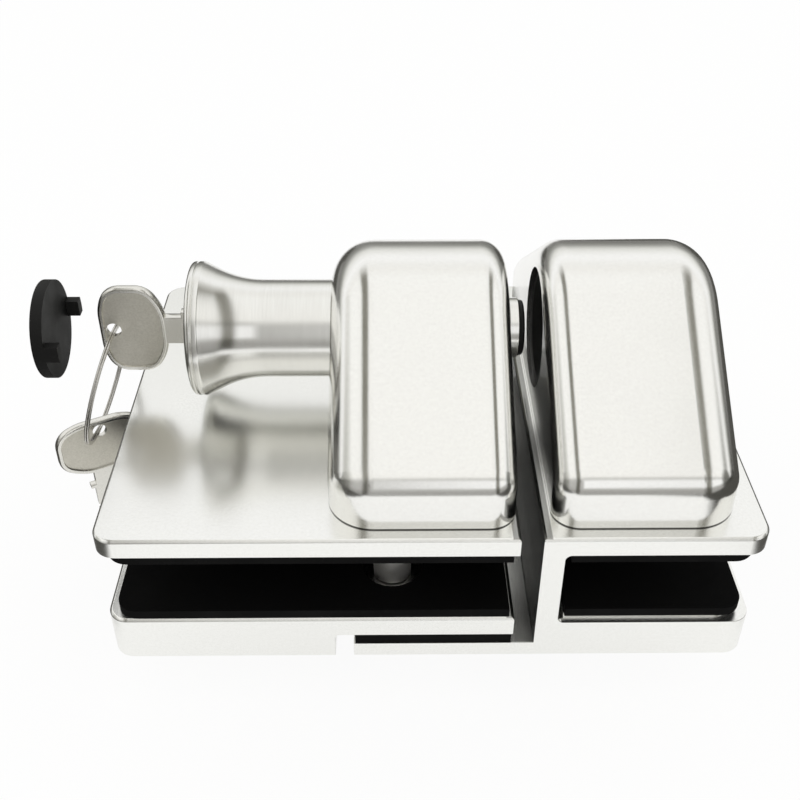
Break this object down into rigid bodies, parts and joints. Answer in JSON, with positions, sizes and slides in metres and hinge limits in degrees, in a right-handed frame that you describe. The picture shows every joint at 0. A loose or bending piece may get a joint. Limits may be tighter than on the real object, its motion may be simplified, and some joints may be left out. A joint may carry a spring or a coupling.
{
  "type": "glass gate latch",
  "caption": "Sliding bolt latch and keeper for a frameless glass gate, with a lockable pull knob, its keys on a ring and the knob's cap taken off.",
  "frame": {"origin": "on the middle plane of the glass, at mid-depth of the plates, midway between the two facing plate ends", "axes": "+X along the bolt from the knob towards the keeper, +Y across the plates away from the viewer, +Z out of the glass towards the housings"},
  "size_m": [0.1388, 0.089, 0.075],
  "materials": {
    "satin_stainless": "satin-polished stainless steel, fine straight grain",
    "cast_stainless": "cast stainless steel, polished to a soft sheen",
    "turned_steel": "turned and polished stainless steel",
    "black_rubber": "matte moulded rubber",
    "black_plastic": "matte moulded nylon",
    "nickel": "nickel plate, stamped and tumbled",
    "zinc": "bright zinc plate",
    "spring_steel": "drawn wire"
  },
  "bodies": {
    "clamped_halves": {"latch_front_plate": "satin_stainless", "latch_back_plate": "satin_stainless", "latch_front_gasket": "black_rubber", "latch_back_gasket": "black_rubber", "latch_housing": "cast_stainless", "glass_studs": "turned_steel", "clamp_screws": "turned_steel", "knob_bush": "black_plastic", "bolt_bush": "black_plastic", "return_spring": "spring_steel", "keeper_body": "satin_stainless", "keeper_front_gasket": "black_rubber", "keeper_back_gasket": "black_rubber", "pressure_plate": "satin_stainless", "keeper_set_screws": "turned_steel", "keeper_housing": "cast_stainless", "keeper_housing_screws": "turned_steel", "stop_pad": "black_rubber", "striker_cup": "black_plastic", "striker_magnet": "zinc"},
    "sliding_bolt": {"knob": "turned_steel", "bolt": "turned_steel", "bolt_tip": "black_plastic", "pin_screw": "zinc", "lock_barrel": "nickel", "knob_cap": "black_plastic"},
    "turning_plug": {"lock_plug": "nickel", "plug_clip": "spring_steel", "lock_cam": "zinc", "key_in_lock": "nickel"},
    "hanging_ring": {"split_ring": "nickel"},
    "hanging_key": {"spare_key": "nickel"}
  },
  "joints": [
    {"name": "bolt_slide", "type": "slide", "parent": "clamped_halves", "child": "sliding_bolt", "axis": [1, 0, 0], "range_m": [0, 0.008], "stiffness_N_per_m": 400, "springref_m": -0.004, "deforming": ["return_spring"]},
    {"name": "key_turn", "type": "hinge", "parent": "sliding_bolt", "child": "turning_plug", "pos_m": [-0.06, 0, 0.028], "axis": [1, 0, 0], "range_deg": [0, 90]},
    {"name": "ring_swing", "type": "hinge", "parent": "turning_plug", "child": "hanging_ring", "pos_m": [-0.08, 0, 0.02729], "axis": [0, 1, 0], "range_deg": [0, 36.5]},
    {"name": "spare_key_swing", "type": "hinge", "parent": "hanging_ring", "child": "hanging_key", "pos_m": [-0.08737, 0.00052, 0.00236], "axis": [0, 1, 0], "range_deg": [0, 25]}
  ],
  "couplings": [
    {"joint": "ring_swing", "follows": "bolt_slide", "rad_per_m": 78.54}
  ]
}
